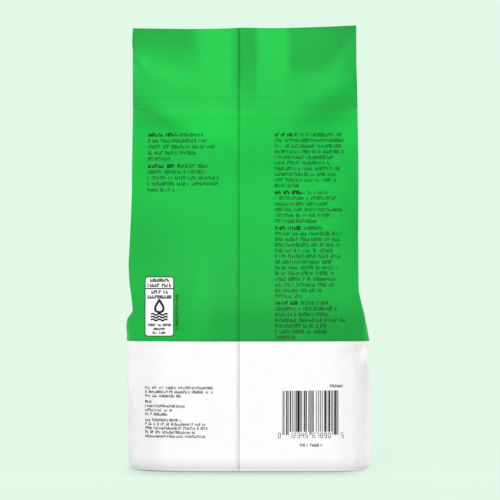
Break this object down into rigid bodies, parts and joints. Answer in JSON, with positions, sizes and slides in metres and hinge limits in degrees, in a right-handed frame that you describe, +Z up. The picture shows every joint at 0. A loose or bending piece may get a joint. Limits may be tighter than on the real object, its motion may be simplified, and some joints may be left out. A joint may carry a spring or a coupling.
{
  "type": "side-gusset pouch",
  "caption": "Filled and sealed side-gusset pouch of bath salt that stands on its base, with a flat press-to-close top and a fin seal down the back.",
  "frame": {"origin": "on the surface that the pouch stands on, under the middle of its flat top", "axes": "+Z up to the flat top, +X to the right when the back panel with the fin seal is looked at, +Y out of the front panel"},
  "size_m": [0.1385, 0.0884, 0.2492],
  "materials": {
    "pouch": "satin printed film, green with a white band below"
  },
  "bodies": {
    "root": {"pouch": "pouch"}
  },
  "joints": []
}
